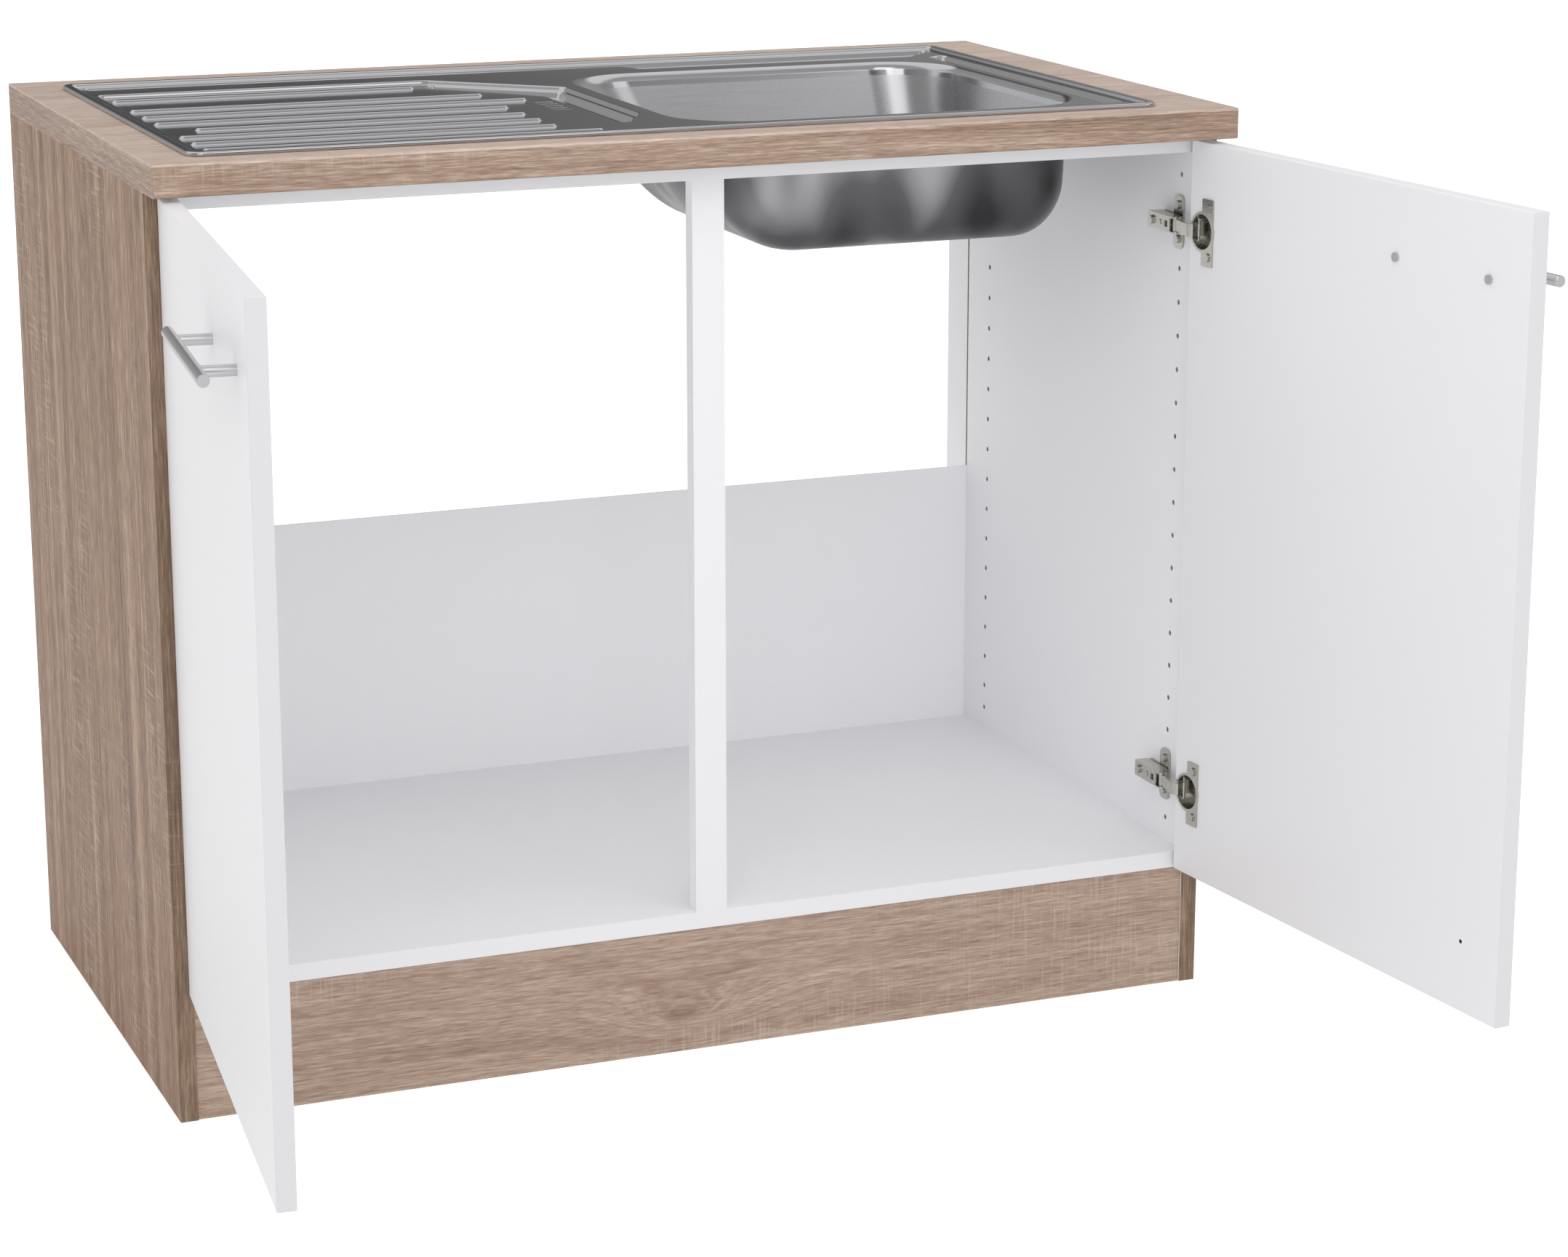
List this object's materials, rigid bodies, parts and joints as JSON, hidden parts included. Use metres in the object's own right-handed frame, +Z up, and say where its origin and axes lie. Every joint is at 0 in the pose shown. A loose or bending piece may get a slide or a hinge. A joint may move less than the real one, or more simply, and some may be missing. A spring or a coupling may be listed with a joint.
{
  "type": "kitchen sink base unit",
  "caption": "Kitchen base unit with oak-look sides and worktop, inset steel sink with bowl and drainer, and hinged white doors on concealed hinges.",
  "frame": {"origin": "on the floor, midway between the sides and midway between the worktop's back edge and the free edges of the open doors", "axes": "+X to the right seen from the front, +Y to the wall, +Z up"},
  "size_m": [1.1444, 1.0582, 0.854],
  "materials": {
    "oak_board": "oak-look melamine, matt",
    "oak_top": "oak-look laminate, matt",
    "white_board": "white melamine, matt",
    "sink_steel": "satin stainless steel",
    "handle_steel": "satin stainless steel",
    "nickel": "nickel plated",
    "zinc": "zinc plated",
    "beech": "bare beech",
    "seal_foam": "closed-cell foam"
  },
  "bodies": {
    "carcass": {"side_panel_left": "oak_board", "side_panel_right": "oak_board", "floor_panel": "white_board", "plinth_panel": "oak_board", "front_top_rail": "white_board", "rear_top_rail": "white_board", "centre_mullion": "white_board", "mullion_screws": "zinc", "back_panel": "white_board", "back_panel_pins": "zinc", "cam_housings": "zinc", "cam_bolts": "zinc", "dowels": "beech", "worktop": "oak_top", "worktop_brackets": "zinc", "bracket_screws": "zinc", "sink_deck": "sink_steel", "sink_bowl": "sink_steel", "sink_seal": "seal_foam", "sink_rails": "zinc", "sink_clamps": "zinc", "sink_clamp_screws": "zinc", "hinge_plates_right": "nickel", "hinge_plate_screws_right": "nickel", "hinge_arms_right": "nickel", "hinge_arm_screws_right": "nickel", "hinge_arm_pins_right": "nickel", "hinge_plates_left": "nickel", "hinge_plate_screws_left": "nickel", "hinge_arms_left": "nickel", "hinge_arm_screws_left": "nickel", "hinge_arm_pins_left": "nickel"},
    "levers_right": {"hinge_levers_right": "nickel"},
    "door_right": {"door_right": "white_board", "hinge_cups_right": "nickel", "hinge_cup_pins_right": "nickel", "hinge_cup_screws_right": "nickel", "handle_bar_right": "handle_steel", "handle_posts_right": "handle_steel", "handle_screws_right": "zinc"},
    "levers_left": {"hinge_levers_left": "nickel"},
    "door_left": {"door_left": "white_board", "hinge_cups_left": "nickel", "hinge_cup_pins_left": "nickel", "hinge_cup_screws_left": "nickel", "handle_bar_left": "handle_steel", "handle_posts_left": "handle_steel", "handle_screws_left": "zinc"}
  },
  "joints": [
    {"name": "door_right_swing", "type": "hinge", "parent": "levers_right", "child": "door_right", "pos_m": [0.4774, -0.04341, 0.468], "axis": [0, 0, 1], "range_deg": [-119, 11]},
    {"name": "lever_right_turn", "type": "hinge", "parent": "carcass", "child": "levers_right", "pos_m": [0.47, -0.01094, 0.468], "axis": [0, 0, 1], "range_deg": [-2.13, 23]},
    {"name": "door_left_swing", "type": "hinge", "parent": "levers_left", "child": "door_left", "pos_m": [-0.4774, -0.04341, 0.468], "axis": [0, 0, -1], "range_deg": [-119, 11]},
    {"name": "lever_left_turn", "type": "hinge", "parent": "carcass", "child": "levers_left", "pos_m": [-0.47, -0.01094, 0.468], "axis": [0, 0, -1], "range_deg": [-2.13, 23]}
  ],
  "couplings": [
    {"joint": "lever_right_turn", "follows": "door_right_swing", "ratio": -0.19328},
    {"joint": "lever_left_turn", "follows": "door_left_swing", "ratio": -0.19328}
  ]
}
